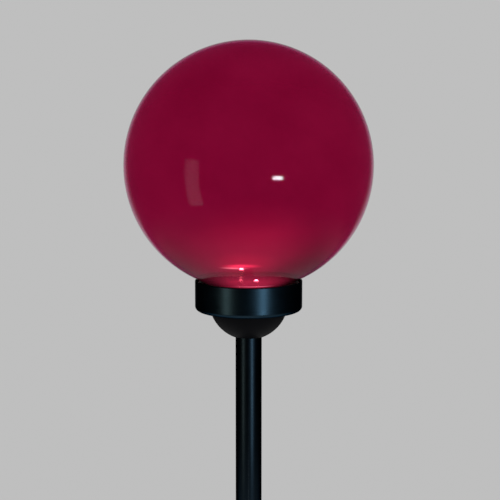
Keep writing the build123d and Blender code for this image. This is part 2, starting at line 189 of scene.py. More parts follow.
def blow_ball():
    bpy.ops.object.select_all(action="DESELECT")
    bpy.ops.mesh.primitive_uv_sphere_add(
        segments=144, ring_count=96, radius=ball_radius * MM, location=(0, 0, ball_centre * MM)
    )
    ball = bpy.context.object
    ball.name = "crimson_ball"
    bpy.ops.object.transform_apply(location=True, rotation=False, scale=False)
    shoulder_radius = NECK_RADIUS + SHOULDER_WIDTH
    shoulder = ball_centre - sqrt(ball_radius**2 - shoulder_radius**2)
    half_way = (NECK_RADIUS + 0.25 * SHOULDER_WIDTH, shoulder - 0.45 * SHOULDER_DROP)
    neck_top = (NECK_RADIUS, shoulder - SHOULDER_DROP)
    bpy.ops.object.mode_set(mode="EDIT")
    bpy.ops.mesh.select_all(action="SELECT")
    bpy.ops.mesh.bisect(plane_co=(0, 0, shoulder * MM), plane_no=(0, 0, 1), clear_inner=True)
    radius, height = shoulder_radius, shoulder
    for next_radius, next_height in (half_way, neck_top, (NECK_RADIUS, neck_foot)):
        drop = (0, 0, (next_height - height) * MM)
        bpy.ops.mesh.extrude_region_move(TRANSFORM_OT_translate={"value": drop})
        draw_in = next_radius / radius
        bpy.ops.transform.resize(value=(draw_in, draw_in, 1), center_override=(0, 0, 0))
        radius, height = next_radius, next_height
    bpy.ops.object.mode_set(mode="OBJECT")
    modify(ball, "SOLIDIFY", thickness=BALL_WALL * MM, offset=-1, use_even_offset=True)
    soften(ball, width=0.4, sharper_than=50)
    return ball


ball = blow_ball()
print(f"{ball.name}: {len(ball.data.polygons)} faces, wall {BALL_WALL} mm")

# %% [markdown]
# Three lugs on the neck climb in the grooves of the ring. Each is a straight bar first: it is tilted so that
# it climbs, cut level above and below, and wrapped round the neck by the Bend of Simple Deform. A Boolean
# then makes one skin of ball and lugs, as a mould would.

# %% Wrap the lugs round the neck
LUG_COUNT = 3
LUG_HEIGHT = 2.2
LUG_RISE = 2.6
LUG_REACH = 1.8  # how far a lug stands out of the neck
LUG_DEPTH = 3.0  # that, and what is sunk in the neck's wall
LUG_FOOT = 1.0  # above the foot of the neck
LUG_CUTS = 24
THREAD_LEAD = 24.0  # rise in one whole turn of the ball
lug_span = 360 * (LUG_HEIGHT + LUG_RISE) / THREAD_LEAD


def wrap_lug(number):
    """One lug, a third of a turn on from the one before."""
    middle_radius = NECK_RADIUS + LUG_REACH - LUG_DEPTH / 2
    length = middle_radius * radians(lug_span) * MM
    tilt = atan2((LUG_HEIGHT + LUG_RISE) * MM, length)
    bpy.ops.object.select_all(action="DESELECT")
    bpy.ops.mesh.primitive_cube_add(size=1)
    lug = bpy.context.object
    bpy.ops.object.mode_set(mode="EDIT")
    bpy.ops.mesh.subdivide(number_cuts=LUG_CUTS)
    bpy.ops.transform.resize(value=(length, LUG_DEPTH * MM, LUG_HEIGHT * MM))
    bpy.ops.transform.rotate(value=tilt, orient_axis="Y", center_override=(0, 0, 0))
    level = LUG_RISE / 2 * MM
    for height, up in ((-level, -1), (level, 1)):
        bpy.ops.mesh.select_all(action="SELECT")
        bpy.ops.mesh.bisect(plane_co=(0, 0, height), plane_no=(0, 0, up), clear_outer=True)
        bpy.ops.mesh.edge_face_add()
    bpy.ops.object.mode_set(mode="OBJECT")
    modify(lug, "SIMPLE_DEFORM", deform_method="BEND", deform_axis="Z", angle=radians(lug_span))
    soften(lug, width=0.3, segments=2, sharper_than=50)
    bpy.ops.object.mode_set(mode="EDIT")
    bpy.ops.mesh.select_all(action="SELECT")
    middle_height = neck_foot + LUG_FOOT + LUG_RISE / 2
    bpy.ops.transform.translate(value=(0, -middle_radius * MM, middle_height * MM))
    turn = 90 + lug_span / 2 + 360 * number / LUG_COUNT
    bpy.ops.transform.rotate(value=-radians(turn), orient_axis="Z", center_override=(0, 0, 0))
    bpy.ops.object.mode_set(mode="OBJECT")
    return lug


def one_skin(piece, extra):
    """Join another closed piece to this one with a Boolean."""
    modify(piece, "BOOLEAN", operation="UNION", object=extra, solver="MANIFOLD")
    bpy.data.objects.remove(extra)


for number in range(LUG_COUNT):
    one_skin(ball, wrap_lug(number))
fit(ball, "globe", "globe_crimson", "globe")

# %% [markdown]
# ## Gasket and collar
# A soft ring keeps rain out between the ball and the threaded ring: its top leans to the ball. The collar is
# pressed from thin sheet, so its bottom edge is a generous bend and its top edge is turned over into a narrow
# bead. Both are lathe work. The bead's arc ends just where the inner wall begins.

# %% Turn the gasket
GASKET_GAP = 0.3  # between the gasket and the ball


def turn_gasket():
    foot, top, radius = reach("globe_gasket")
    bore = NECK_RADIUS + GASKET_GAP
    ball_clear = ball_radius + GASKET_GAP
    lean_radius = sqrt(ball_clear**2 - (ball_centre - top) ** 2)
    lean_foot = ball_centre - sqrt(ball_clear**2 - bore**2)
    outline = [(bore, foot), (radius, foot), (radius, top), (lean_radius, top), (bore, lean_foot)]
    gasket = turned("ball_gasket", outline)
    soften(gasket, width=0.18)
    return fit(gasket, "globe_seal", "seal_rubber", "globe_gasket")


turn_gasket()

# %% Turn the collar
COLLAR_WALL = 0.8
COLLAR_BEND = 3.6  # outside radius of the bottom edge
COLLAR_BEAD = 0.55  # radius of the turned-over rim
SPIGOT_RADIUS = 8.0  # of the cup's stub, which the collar is centred on
SPIGOT_FIT = 0.1


def turn_collar():
    bend_at = collar_radius - COLLAR_BEND
    bead_at = collar_radius - COLLAR_BEAD
    bead_height = collar_rim - COLLAR_BEAD
    inner_bend = COLLAR_BEND - COLLAR_WALL
    bead_end = 360 - degrees(acos(1 - COLLAR_WALL / COLLAR_BEAD))
    hole = SPIGOT_RADIUS + SPIGOT_FIT
    outline = [(hole, collar_foot)]
    outline += arc(bend_at, collar_foot + COLLAR_BEND, COLLAR_BEND, start=-90, end=0, steps=10)
    outline += arc(bead_at, bead_height, COLLAR_BEAD, start=0, end=bead_end, steps=16)
    outline += arc(bend_at, collar_foot + COLLAR_BEND, inner_bend, start=0, end=-90)
    outline += [(hole, collar_foot + COLLAR_WALL)]
    collar = turned("metal_collar", outline, steps=192)
    return fit(collar, "head", "gunmetal", "collar")


turn_collar()

# %% [markdown]
# ## Cup, pole and coupler
# The cup is a moulding with the shape of a ball. Its outline is one long arc, and a small round lip closes it
# round the pole. The two lengths of pole are plain tube with broken edges. Between them shows only the bead
# of the moulded coupler that joins them.

# %% Turn the cup
CUP_BALL = 32.3  # radius of the ball that the cup is part of
CUP_CENTRE = 391.2  # and the height of its middle
CUP_LIP = 0.8
CUP_LEAD_IN = (0.4, 0.5)  # width and height of the funnel at the pole's hole
CUP_ARC = (-65.5, -14.7)  # from the lip to the collar, in degrees


def turn_cup():
    pole_hole = pole_radius + POLE_FIT
    lead_in_width, lead_in_height = CUP_LEAD_IN
    foot_radius = sqrt(CUP_BALL**2 - (CUP_CENTRE - cup_foot) ** 2)
    outline = [(0, pole_top), (pole_hole, pole_top)]
    outline += [(pole_hole, cup_foot + lead_in_height), (pole_hole + lead_in_width, cup_foot)]
    outline += arc(foot_radius - CUP_LIP, cup_foot + CUP_LIP, CUP_LIP, start=-90, end=-35, steps=4)
    outline += arc(0, CUP_CENTRE, CUP_BALL, *CUP_ARC, steps=40)
    outline += [(SPIGOT_RADIUS, collar_foot), (SPIGOT_RADIUS, cup_top), (0, cup_top)]
    cup = turned("pole_cup", outline, steps=144)
    return fit(cup, "head", "cup_plastic", "cup")


turn_cup()

# %% Turn the pole and its coupler
PLUG_WALL = 2.2
PLUG_LEAD_IN = 1.2


def turn_pole(name, low, high, body, node):
    bore = pole_radius - POLE_WALL
    tube = turned(name, [(bore, low), (pole_radius, low), (pole_radius, high), (bore, high)], steps=96)
    soften(tube, width=0.25)
    return fit(tube, body, "gunmetal", node)


def turn_coupler():
    foot, top, _ = reach("pole_coupler")
    plug = pole_radius - POLE_WALL - POLE_FIT
    tip = plug - PLUG_LEAD_IN
    bore = plug - PLUG_WALL
    outline = [(bore, foot), (tip, foot), (plug, foot + PLUG_LEAD_IN), (plug, joint_foot)]
    outline += [(pole_radius, joint_foot), (pole_radius, joint_top), (plug, joint_top)]
    outline += [(plug, top - PLUG_LEAD_IN), (tip, top), (bore, top)]
    coupler = turned("joint_coupler", outline, steps=96)
    soften(coupler, width=0.35)
    return fit(coupler, "lower_pole", "cup_plastic", "pole_coupler")


turn_pole("lower_tube", pole_foot, joint_foot, "lower_pole", "pole_lower")
turn_pole("upper_tube", joint_top, pole_top, "upper_pole", "pole_upper")
turn_coupler()

# %% [markdown]
# ## Pieces with flats and ribs
# The spike, the lid, the threaded ring, the switch and the screws have no single outline to spin. Their
# construction nodes have the right shape already, so each is copied, its triangles are joined back into
# faces, and its edges are rounded as a mould or a die would leave them.

# %% Soften the mouldings
MOULDINGS = (  # node, name of the copy, body, material slot, and how wide its edges are rounded
    ("ground_spike", "finned_spike", "stake", "cup_plastic", 0.5),
    ("housing_lid", "light_plate", "head", "black_plastic", 0.15),
    ("globe_ring", "threaded_ring", "head", "black_plastic", 0.15),
    ("switch_slider", "switch_thumb", "switch", "switch_white", 0.08),
    ("lid_screws", "plate_screws", "head", "screw_steel", 0.12),
)

for node, name, body, slot, width in MOULDINGS:
    fit(softened_copy(node, name, width), body, slot, node)

# %% [markdown]
# ## The panel and the LEDs
# The small solar panel is a slab of clear resin over its cells: the cells lie a little below a raised edge.
# An LED is a clear domed body with a tiny bright cup inside, so it is made as two pieces, and the light of
# the inner one comes out through the dome.

# %% Cast the panel
PANEL_RIM = 1.1  # width of the raised edge
PANEL_SUNK = 0.25  # how far the cells lie below it


def cast_panel():
    low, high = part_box("solar_panel")
    size, centre = high - low, (high + low) / 2
    bpy.ops.object.select_all(action="DESELECT")
    bpy.ops.mesh.primitive_cube_add(size=1)
    panel = bpy.context.object
    panel.name = "cell_panel"
    bpy.ops.object.mode_set(mode="EDIT")
    bpy.ops.transform.resize(value=size)
    bpy.ops.transform.translate(value=centre)
    bpy.ops.mesh.select_all(action="DESELECT")
    bpy.ops.object.mode_set(mode="OBJECT")
    for face in panel.data.polygons:
        face.select = face.normal.z > 0.5
    bpy.ops.object.mode_set(mode="EDIT")
    bpy.ops.mesh.select_mode(type="FACE")
    bpy.ops.mesh.inset(thickness=PANEL_RIM * MM)
    bpy.ops.mesh.extrude_region_move(TRANSFORM_OT_translate={"value": (0, 0, -PANEL_SUNK * MM)})
    bpy.ops.mesh.select_mode(type="VERT")
    bpy.ops.object.mode_set(mode="OBJECT")
    soften(panel, width=0.2)
    return fit(panel, "head", "panel_face", "solar_panel")


cast_panel()

# %% Mould the LEDs
LED_RADIUS = 2.45
LED_RIM_HEIGHT = 1
LED_NODES = ("led_rear", "led_front")
REFLECTOR_HEIGHTS = (-5.2, -3.4)  # foot and mouth of the bright cup, from the top of the dome
REFLECTOR_RADII = (0.5, 1.3)  # of its foot and its mouth
REFLECTOR_WALL = 0.2
REFLECTOR_FLOOR = 0.6


def led_place(node):
    """Where an LED stands, as x and y in millimetres."""
    low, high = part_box(node)
    return (low.x + high.x) / 2 / MM, (low.y + high.y) / 2 / MM


def mould_led(node):
    place = led_place(node)
    foot, top, rim = reach(node)
    rim_top = foot + LED_RIM_HEIGHT
    outline = [(0, foot), (rim, foot), (rim, rim_top), (LED_RADIUS, rim_top)]
    outline += arc(0, top - LED_RADIUS, LED_RADIUS, start=0, end=90, steps=12)
    outline[-1] = (0, top)
    lens = turned(f"{node}_lens", outline, steps=48, at=place)
    fit(lens, "head", "led_lens", node)
    cup_foot_height, cup_mouth_height = (top + drop for drop in REFLECTOR_HEIGHTS)
    foot_radius, mouth_radius = REFLECTOR_RADII
    floor = cup_foot_height + REFLECTOR_FLOOR
    outline = [(0, cup_foot_height), (foot_radius, cup_foot_height), (mouth_radius, cup_mouth_height)]
    outline += [(mouth_radius - REFLECTOR_WALL, cup_mouth_height), (foot_radius, floor), (0, floor)]
    spot = turned(f"{node}_spot", outline, steps=32, at=place)
    return fit(spot, "head", "led_lens", node)


for node in LED_NODES:
    mould_led(node)

# %% [markdown]
# ## Finishes
# A finish in Blender is a small net of nodes. Effects that several finishes share are node groups: fine
# grain, the lines left by drawing and turning, rubbed edges, dust, stripes and soft spots of light. Each is
# built once and placed in a finish with its own values. Every pattern reads the place of a point on the
# object, so it stays put when the piece moves or is seen from another side.


# %% Helpers for nodes
def feed(tree, socket, value):
    """Link another node's output to a socket, or set the socket's own value."""
    if isinstance(value, bpy.types.NodeSocket):
        tree.links.new(value, socket)
    else:
        socket.default_value = value


def add(tree, kind, inputs=None, **settings):
    """Add a node, set its properties, and link or set its inputs."""
    node = tree.nodes.new(kind)
    for label, value in settings.items():
        setattr(node, label, value)
    for label, value in (inputs or {}).items():
        feed(tree, node.inputs[label], value)
    return node


def calculate(tree, operation, *values):
    """The result of a Math node, such as ADD, MULTIPLY or POWER."""
    return add(tree, "ShaderNodeMath", dict(enumerate(values)), operation=operation).outputs[0]


def ramp(tree, value, start, end, low=0.0, high=1.0, smooth=False):
    """A value that goes from low to high as another goes from start to end."""
    kind = "SMOOTHSTEP" if smooth else "LINEAR"
    inputs = {"Value": value, "From Min": start, "From Max": end, "To Min": low, "To Max": high}
    return add(tree, "ShaderNodeMapRange", inputs, interpolation_type=kind).outputs["Result"]


def blend(tree, mask, first, second, kind="MIX"):
    """One colour laid over another by a mask."""
    mixer = add(tree, "ShaderNodeMix", data_type="RGBA", blend_type=kind)
    for socket, value in ((0, mask), (6, first), (7, second)):
        feed(tree, mixer.inputs[socket], value)
    return mixer.outputs[2]


def new_group(name, inputs, output):
    """An empty group: inputs are numbers, or vectors where the value has three parts."""
    group = bpy.data.node_groups.new(name, "ShaderNodeTree")
    for label, value in inputs.items():
        kind = "NodeSocketVector" if isinstance(value, tuple) else "NodeSocketFloat"
        group.interface.new_socket(label, in_out="INPUT", socket_type=kind).default_value = value
    group.interface.new_socket(output, in_out="OUTPUT", socket_type="NodeSocketFloat")
    return group, add(group, "NodeGroupInput").outputs, add(group, "NodeGroupOutput").inputs[output]


def effect(tree, group, **values):
    """Place a group in a finish with its own values, and give what it puts out."""
    inputs = {label.replace("_", " "): value for label, value in values.items()}
    return add(tree, "ShaderNodeGroup", inputs, node_tree=bpy.data.node_groups[group]).outputs[0]


# %% Grain, lines and stripes
NOISE_RANGE = (0.3, 0.7)  # what Blender's noise seldom leaves


def place_on_object(tree):
    """Where a point lies on its own object, in metres."""
    return add(tree, "ShaderNodeTexCoord").outputs["Object"]


def build_fine_grain():
    """Even grain, from 0 to 1, with its size in millimetres."""
    group, value, result = new_group("fine grain", {"Size": 1.0}, "Grain")
    per_metre = calculate(group, "DIVIDE", 1 / MM, value["Size"])
    inputs = {"Vector": place_on_object(group), "Scale": per_metre, "Detail": 3.0}
    noise = add(group, "ShaderNodeTexNoise", inputs)
    feed(group, result, ramp(group, noise.outputs["Fac"], *NOISE_RANGE))


def build_drawn_lines():
    """Fine lines, from 0 to 1. The input gives how many go to a millimetre along each axis."""
    group, value, result = new_group("drawn lines", {"Per Millimetre": (0.0, 0.0, 4.0)}, "Lines")
    close = add(group, "ShaderNodeVectorMath", operation="SCALE")
    feed(group, close.inputs[0], value["Per Millimetre"])
    feed(group, close.inputs["Scale"], 1 / MM)
    stretched = add(group, "ShaderNodeVectorMath", operation="MULTIPLY")
    feed(group, stretched.inputs[0], place_on_object(group))
    feed(group, stretched.inputs[1], close.outputs[0])
    noise = add(group, "ShaderNodeTexNoise", {"Vector": stretched.outputs[0], "Scale": 1.0, "Detail": 4.0})
    feed(group, result, ramp(group, noise.outputs["Fac"], *NOISE_RANGE))


def build_stripes():
    """Stripes across a direction: 1 on a stripe and 0 between, with spacing and width in millimetres."""
    inputs = {"Across": (1.0, 0.0, 0.0), "Spacing": 10.0, "Width": 1.0, "Shift": 0.0}
    group, value, result = new_group("stripes", inputs, "Stripes")
    along = add(group, "ShaderNodeVectorMath", operation="DOT_PRODUCT")
    feed(group, along.inputs[0], place_on_object(group))
    feed(group, along.inputs[1], value["Across"])
    moved = calculate(group, "ADD", calculate(group, "DIVIDE", along.outputs["Value"], MM), value["Shift"])
    within = calculate(group, "FLOORED_MODULO", moved, value["Spacing"])
    feed(group, result, calculate(group, "LESS_THAN", within, value["Width"]))


build_fine_grain()
build_drawn_lines()
build_stripes()


# %% Wear, dust and spots of light
def build_rubbed_edge():
    """1 along outer edges, broken up by grain: Pointiness tells how sharply the surface bends outwards."""
    group, value, result = new_group("rubbed edge", {"Start": 0.51, "End": 0.58, "Grain Size": 1.5}, "Rubbed")
    bend = add(group, "ShaderNodeNewGeometry").outputs["Pointiness"]
    edge = ramp(group, bend, value["Start"], value["End"])
    broken = effect(group, "fine grain", Size=value["Grain Size"])
    feed(group, result, calculate(group, "MULTIPLY", edge, broken))


def build_settled_dust():
    """Patchy dust on what faces up."""
    group, value, result = new_group("settled dust", {"Amount": 0.3, "Patch Size": 6.0}, "Dust")
    normal = add(group, "ShaderNodeNewGeometry").outputs["Normal"]
    up = add(group, "ShaderNodeSeparateXYZ", {"Vector": normal}).outputs["Z"]
    patches = effect(group, "fine grain", Size=value["Patch Size"])
    layer = calculate(group, "MULTIPLY", ramp(group, up, 0.4, 1.0), patches)
    feed(group, result, calculate(group, "MULTIPLY", layer, value["Amount"]))


def build_soft_spot():
    """1 at a place, falling softly to 0 at a reach that differs along each axis, both in millimetres."""
    inputs = {"Centre": (0.0, 0.0, 0.0), "Reach": (10.0, 10.0, 10.0)}
    group, value, result = new_group("soft spot", inputs, "Spot")
    millimetres = add(group, "ShaderNodeVectorMath", operation="SCALE")
    feed(group, millimetres.inputs[0], place_on_object(group))
    feed(group, millimetres.inputs["Scale"], 1 / MM)
    offset = add(group, "ShaderNodeVectorMath", operation="SUBTRACT")
    feed(group, offset.inputs[0], millimetres.outputs[0])
    feed(group, offset.inputs[1], value["Centre"])
    shares = add(group, "ShaderNodeVectorMath", operation="DIVIDE")
    feed(group, shares.inputs[0], offset.outputs[0])
    feed(group, shares.inputs[1], value["Reach"])
    away = add(group, "ShaderNodeVectorMath", {0: shares.outputs[0]}, operation="LENGTH").outputs["Value"]
    feed(group, result, ramp(group, away, 1.0, 0.0, smooth=True))


build_rubbed_edge()
build_settled_dust()
build_soft_spot()
print("node groups:", ", ".join(sorted(group.name for group in bpy.data.node_groups)))

# %% [markdown]
# ## Plastics and rubber
# Moulded plastic is never one flat colour: the mould leaves a fine texture, handled edges turn paler and
# smoother, and dust settles on top. One function makes all moulded finishes from a few values.

# %% Moulded finishes
DUST_COLOUR = (0.35, 0.33, 0.30, 1)
ROUGHEST = 1.3  # grain and dust together, at which a surface is as rough as it gets


def start_finish(name):
    """A new material with its node tree and its Principled shader."""
    finish = bpy.data.materials.new(name)
    finish.use_nodes = True
    return finish, finish.node_tree, finish.node_tree.nodes["Principled BSDF"]


def relief(tree, shader, height, depth, strength=1.0):
    """Raise the surface by a height from 0 to 1, with its depth in millimetres."""
    bump = add(tree, "ShaderNodeBump", {"Height": height, "Distance": depth * MM, "Strength": strength})
    feed(tree, shader.inputs["Normal"], bump.outputs["Normal"])


def moulded(name, colour, rubbed, rough, size=0.5, depth=0.02, gloss=0.5, dust=0.15):
    """Moulded plastic or rubber. Colours are linear, rough is a range, size is the grain's in millimetres."""
    finish, tree, shader = start_finish(name)
    grain = effect(tree, "fine grain", Size=size)
    cloud = effect(tree, "fine grain", Size=size * 25)
    worn = effect(tree, "rubbed edge", Grain_Size=size * 4)
    dusty = effect(tree, "settled dust", Amount=dust, Patch_Size=size * 12)
    darker = tuple(0.75 * part for part in colour)
    body = blend(tree, cloud, (*darker, 1), (*colour, 1))
    body = blend(tree, worn, body, (*rubbed, 1))
    feed(tree, shader.inputs["Base Color"], blend(tree, dusty, body, DUST_COLOUR))
    coarseness = calculate(tree, "ADD", grain, dusty)
    feed(tree, shader.inputs["Roughness"], ramp(tree, coarseness, 0, ROUGHEST, *rough))
    feed(tree, shader.inputs["Specular IOR Level"], gloss)
    relief(tree, shader, grain, depth)
    return finish


# %% [markdown]
# ## Metals
# The collar was polished as it turned and the pole was drawn through a die, so the collar's fine lines run
# round it and the pole's run along it. Both are dark black-nickel with a satin sheen and a dim reflection.
# The little blue in their colour is painted light, the tint of cool light that the metal mirrors, and the
# collar's brighter copy of that colour is a painted highlight.


# %% Metal finishes
def drawn_metal(name, colour, rubbed, rough, lines, edge_tint=(1, 1, 1), depth=0.004, wear=(0.52, 0.60)):
    """Satin metal with fine lines. lines gives how many go to a millimetre along each axis."""
    finish, tree, shader = start_finish(name)
    streaks = effect(tree, "drawn lines", Per_Millimetre=lines)
    cloud = effect(tree, "fine grain", Size=14.0)
    worn = effect(tree, "rubbed edge", Start=wear[0], End=wear[1], Grain_Size=0.8)
    darker = tuple(0.8 * part for part in colour)
    body = blend(tree, streaks, (*darker, 1), (*colour, 1))
    feed(tree, shader.inputs["Base Color"], blend(tree, worn, body, (*rubbed, 1)))
    feed(tree, shader.inputs["Roughness"], ramp(tree, calculate(tree, "ADD", streaks, cloud), 0, 2, *rough))
    feed(tree, shader.inputs["Metallic"], 1.0)
    feed(tree, shader.inputs["Specular Tint"], (*edge_tint, 1))
    relief(tree, shader, streaks, depth)
    return finish


# %% [markdown]
# ## Crimson glass
# The ball is clear and deeply tinted, and darker near its foot. The light of the LEDs that catches in the
# skin is painted: the shader glows a little, in painted soft clouds that fade upwards, painted streaks by the
# rear LED and a painted highlight, a thin bright line over the front rim.

# %% Crimson glass
GLASS = (0.62, 0.074, 0.235)
GLASS_DEEP = (0.57, 0.052, 0.208)
GLASS_FOOT = (0.22, 0.030, 0.090)
# Painted light: the glow of the LEDs' light in the skin, painted streaks, and a painted highlight over the
# front rim.
PAINTED_LED_HAZE = (0.095, 0.008, 0.020)
PAINTED_FOOT_GLOW = (0.19, 0.008, 0.026)
PAINTED_LED_STREAK = (1.30, 0.50, 0.40)
PAINTED_FRONT_STREAK = (0.50, 0.13, 0.17)
PAINTED_RIM_HIGHLIGHT = (0.65, 0.13, 0.22)
FOOT_FADES = (0.440, 0.408)  # heights in metres between which the glass darkens
PAINTED_LED_LIGHT = (  # centre and reach in millimetres, and colour
    ((-6, -66, 425), (70, 70, 48), PAINTED_LED_HAZE),
    ((6, 66, 425), (70, 70, 48), PAINTED_LED_HAZE),
    ((4, -46, 410), (38, 30, 16), PAINTED_FOOT_GLOW),
    ((-4, 46, 410), (38, 30, 16), PAINTED_FOOT_GLOW),
    ((-8, 45, 411.5), (24, 12, 1.7), PAINTED_LED_STREAK),
    ((-12, -68.5, 427.2), (15, 8, 1.3), PAINTED_FRONT_STREAK),
    ((8, -40, 408.4), (26, 8, 0.8), PAINTED_RIM_HIGHLIGHT),
)


def crimson_glass():
    finish, tree, shader = start_finish("crimson_glass")
    cloud = effect(tree, "fine grain", Size=45.0)
    height = add(tree, "ShaderNodeSeparateXYZ", {"Vector": place_on_object(tree)}).outputs["Z"]
    foot = ramp(tree, height, *FOOT_FADES, smooth=True)
    clear = blend(tree, cloud, (*GLASS_DEEP, 1), (*GLASS, 1))
    feed(tree, shader.inputs["Base Color"], blend(tree, foot, clear, (*GLASS_FOOT, 1)))
    feed(tree, shader.inputs["Transmission Weight"], 1.0)
    feed(tree, shader.inputs["Roughness"], 0.05)
    feed(tree, shader.inputs["IOR"], 1.12)
    # The painted light of the LEDs, laid into the glass's emission one soft spot at a time.
    glow = (0, 0, 0, 1)
    for centre, reach_mm, colour in PAINTED_LED_LIGHT:
        spot = effect(tree, "soft spot", Centre=centre, Reach=reach_mm)
        glow = blend(tree, spot, glow, (*colour, 1), "ADD")
    patchy = blend(tree, cloud, (0.85, 0.85, 0.85, 1), (1.1, 1.1, 1.1, 1))
    feed(tree, shader.inputs["Emission Color"], blend(tree, 1.0, glow, patchy, "MULTIPLY"))
    feed(tree, shader.inputs["Emission Strength"], 1.0)
    return finish


# %% [markdown]
# ## The LEDs and the panel
# An LED's clear body takes the colour of its light, brightest in the dome. The panel's cells are dark blue
# strips with hair-thin silver fingers and wider gaps, seen through a coat of clear resin.

# %% Lit lenses
GLOW_DEPTH = 0.4  # how far the brightest point lies below the top of the dome
GLOW_REACH = 3.3
GLOW_FOCUS = 2.2  # the higher, the smaller the bright middle


def lit_lens(name, glow, strength):
    finish, tree, shader = start_finish(name)
    grain = effect(tree, "fine grain", Size=0.8)
    feed(tree, shader.inputs["Base Color"], blend(tree, grain, (0.85, 0.30, 0.34, 1), (0.95, 0.42, 0.45, 1)))
    feed(tree, shader.inputs["Roughness"], ramp(tree, grain, 0, 1, 0.08, 0.16))
    feed(tree, shader.inputs["Transmission Weight"], 0.85)
    colour = (0, 0, 0, 1)
    for node in LED_NODES:
        tip = (*led_place(node), reach(node)[1] - GLOW_DEPTH)
        spot = effect(tree, "soft spot", Centre=tip, Reach=(GLOW_REACH, GLOW_REACH, GLOW_REACH))
        colour = blend(tree, calculate(tree, "POWER", spot, GLOW_FOCUS), colour, (*glow, 1), "ADD")
    feed(tree, shader.inputs["Emission Color"], colour)
    feed(tree, shader.inputs["Emission Strength"], strength)
    return finish


# %% Panel face
def panel_face():
    finish, tree, shader = start_finish("panel_face")
    cloud = effect(tree, "fine grain", Size=7.0)
    cells = blend(tree, cloud, (0.006, 0.010, 0.032, 1), (0.012, 0.022, 0.070, 1))
    fingers = effect(tree, "stripes", Across=(0, 1, 0), Spacing=1.6, Width=0.14)
    gaps = effect(tree, "stripes", Across=(1, 0, 0), Spacing=8.4, Width=0.7, Shift=4.55)
    cells = blend(tree, fingers, cells, (0.16, 0.17, 0.19, 1))
    cells = blend(tree, gaps, cells, (0.32, 0.33, 0.35, 1))
    dusty = effect(tree, "settled dust", Amount=0.12, Patch_Size=4.0)
    feed(tree, shader.inputs["Base Color"], blend(tree, dusty, cells, DUST_COLOUR))
    rough = ramp(tree, calculate(tree, "ADD", cloud, dusty), 0, ROUGHEST, 0.12, 0.3)
    feed(tree, shader.inputs["Roughness"], rough)
    feed(tree, shader.inputs["Coat Weight"], 0.6)
    feed(tree, shader.inputs["Coat Roughness"], 0.05)
    return finish


# %% [markdown]
# ## The works
# Nobody sees the works until the ball and the plate are off, but they are part of the light: a green board
# with copper lines, a cell in a plain shrink sleeve with its steel ends showing, and wires in pairs of red
# and black.


# %% Board, cell and wires
CELL_CAP = 2.5  # bare length at the cap of the cell, and at its flat end
CELL_END = 0.6
CELL_BAND = 12.0  # where the pale band of the sleeve begins, from the cap's tip
CELL_EDGE = 0.1  # how softly one gives way to the other


def board_green():
    """Solder mask over rows and columns of copper lines, with a bare pad where two lines cross."""
    finish, tree, shader = start_finish("board_green")
    grain = effect(tree, "fine grain", Size=0.6)
    mask = blend(tree, grain, (0.006, 0.085, 0.032, 1), (0.010, 0.120, 0.045, 1))
    rows = {"Across": (0, 1, 0), "Spacing": 3.4}
    columns = {"Across": (1, 0, 0), "Spacing": 5.6}
    for direction, width, shift in ((rows, 0.5, 1.0), (columns, 0.45, 2.0)):
        lines = effect(tree, "stripes", Width=width, Shift=shift, **direction)
        mask = blend(tree, lines, mask, (0.03, 0.20, 0.07, 1))
    row = effect(tree, "stripes", Width=0.9, Shift=0.8, **rows)
    column = effect(tree, "stripes", Width=0.9, Shift=1.8, **columns)
    pads = calculate(tree, "MULTIPLY", row, column)
    feed(tree, shader.inputs["Base Color"], blend(tree, pads, mask, (0.62, 0.60, 0.55, 1)))
    feed(tree, shader.inputs["Metallic"], pads)
    feed(tree, shader.inputs["Roughness"], ramp(tree, grain, 0, 1, 0.28, 0.42))
    return finish


def cell_wrap():
    """Shrink sleeve, with bare metal at the two ends of the cell."""
    finish, tree, shader = start_finish("cell_wrap")
    low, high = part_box("battery_cell")
    along = add(tree, "ShaderNodeSeparateXYZ", {"Vector": place_on_object(tree)}).outputs["X"]
    left = ramp(tree, along, low.x + (CELL_END + CELL_EDGE) * MM, low.x + CELL_END * MM)
    right = ramp(tree, along, high.x - (CELL_CAP + CELL_EDGE) * MM, high.x - CELL_CAP * MM)
    bare = calculate(tree, "ADD", left, right)
    band = ramp(tree, along, high.x - (CELL_BAND + CELL_EDGE) * MM, high.x - CELL_BAND * MM)
    grain = effect(tree, "fine grain", Size=2.0)
    sleeve = blend(tree, grain, (0.05, 0.20, 0.09, 1), (0.08, 0.28, 0.13, 1))
    sleeve = blend(tree, band, sleeve, (0.60, 0.60, 0.58, 1))
    feed(tree, shader.inputs["Base Color"], blend(tree, bare, sleeve, (0.62, 0.61, 0.58, 1)))
    feed(tree, shader.inputs["Metallic"], bare)
    feed(tree, shader.inputs["Roughness"], ramp(tree, grain, 0, 1, 0.22, 0.34))
    return finish


def wire_cover(name, spacing, shift):
    """Wires in pairs, red and black, told apart by where they lie along X."""
    finish, tree, shader = start_finish(name)
    grain = effect(tree, "fine grain", Size=0.7)
    half = spacing / 2
    first = effect(tree, "stripes", Across=(1, 0, 0), Spacing=spacing, Width=half, Shift=shift)
    red = blend(tree, grain, (0.30, 0.012, 0.012, 1), (0.42, 0.02, 0.018, 1))
    feed(tree, shader.inputs["Base Color"], blend(tree, first, (0.012, 0.012, 0.013, 1), red))
    feed(tree, shader.inputs["Roughness"], ramp(tree, grain, 0, 1, 0.38, 0.5))
    relief(tree, shader, grain, 0.01)
    return finish


# %% [markdown]
# ## Dress the light
# Each piece gets its finish by name. The construction nodes that have no finer piece, such as the tub, its
# seal and the works, are dressed too: only their material slots change.

